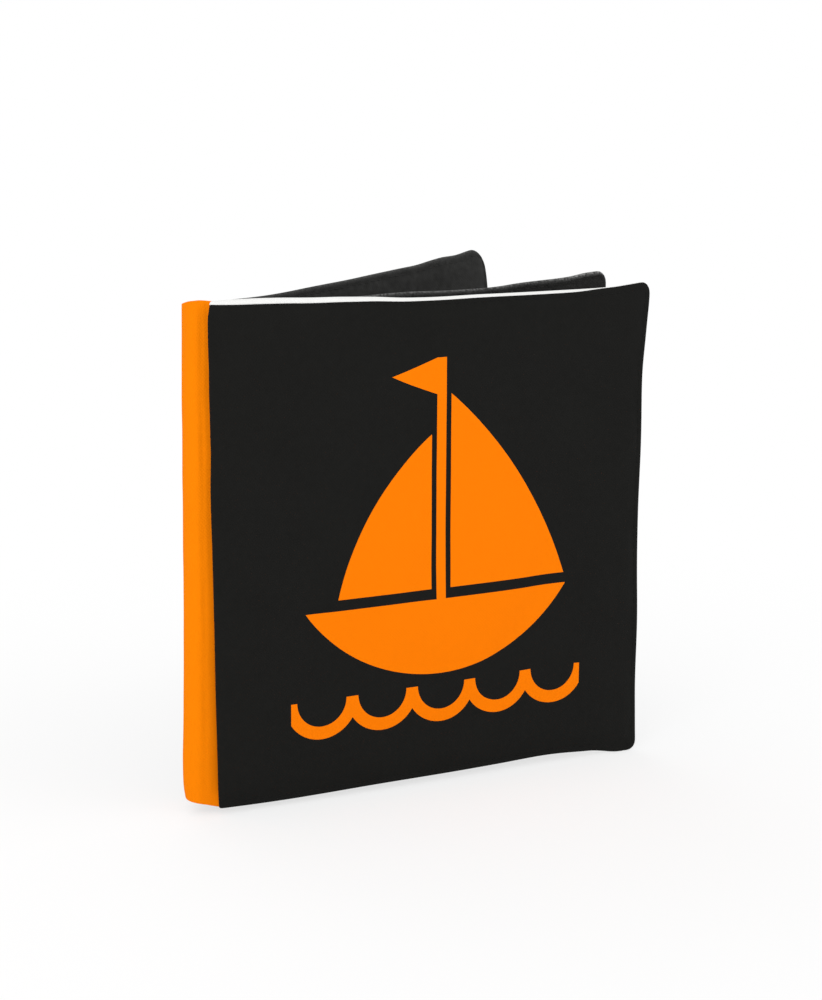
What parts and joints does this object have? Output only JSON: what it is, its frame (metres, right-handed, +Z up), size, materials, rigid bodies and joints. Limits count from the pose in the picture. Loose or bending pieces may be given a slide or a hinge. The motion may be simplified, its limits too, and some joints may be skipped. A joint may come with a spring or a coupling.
{
  "type": "cloth crinkle book",
  "caption": "Soft cloth crinkle book with padded black covers and page, a bulging orange spine and an orange boat print, standing fanned open on its bottom edge.",
  "frame": {"origin": "on the table, midway between the seams that the two covers turn on, on the page's bottom edge", "axes": "+X along the page from the spine to its free edge, +Y from the front cover to the back cover, +Z up along the spine"},
  "size_m": [0.1539, 0.0785, 0.15],
  "materials": {
    "cover_cloth": "plain black woven cotton",
    "page_cloth": "charcoal woven cotton",
    "white_lining": "white woven cotton",
    "spine_cloth": "doubled orange cotton",
    "print": "orange ink printed on cloth",
    "crinkle_film": "thin clear crinkling film"
  },
  "bodies": {
    "spine": {"spine_strip": "spine_cloth", "page_front_cloth": "page_cloth", "page_back_cloth": "page_cloth", "page_film": "crinkle_film"},
    "front_cover": {"front_cover_cloth": "cover_cloth", "front_cover_lining": "white_lining", "front_cover_film": "crinkle_film", "front_cover_print": "print"},
    "back_cover": {"back_cover_cloth": "cover_cloth", "back_cover_lining": "page_cloth", "back_cover_film": "crinkle_film"}
  },
  "joints": [
    {"name": "front_cover_seam", "type": "hinge", "parent": "spine", "child": "front_cover", "pos_m": [0, -0.008, 0.075], "axis": [0, 0, -1], "range_deg": [-5.2, 175.8]},
    {"name": "back_cover_seam", "type": "hinge", "parent": "spine", "child": "back_cover", "pos_m": [0, 0.008, 0.075], "axis": [0, 0, 1], "range_deg": [-20, 161]}
  ]
}
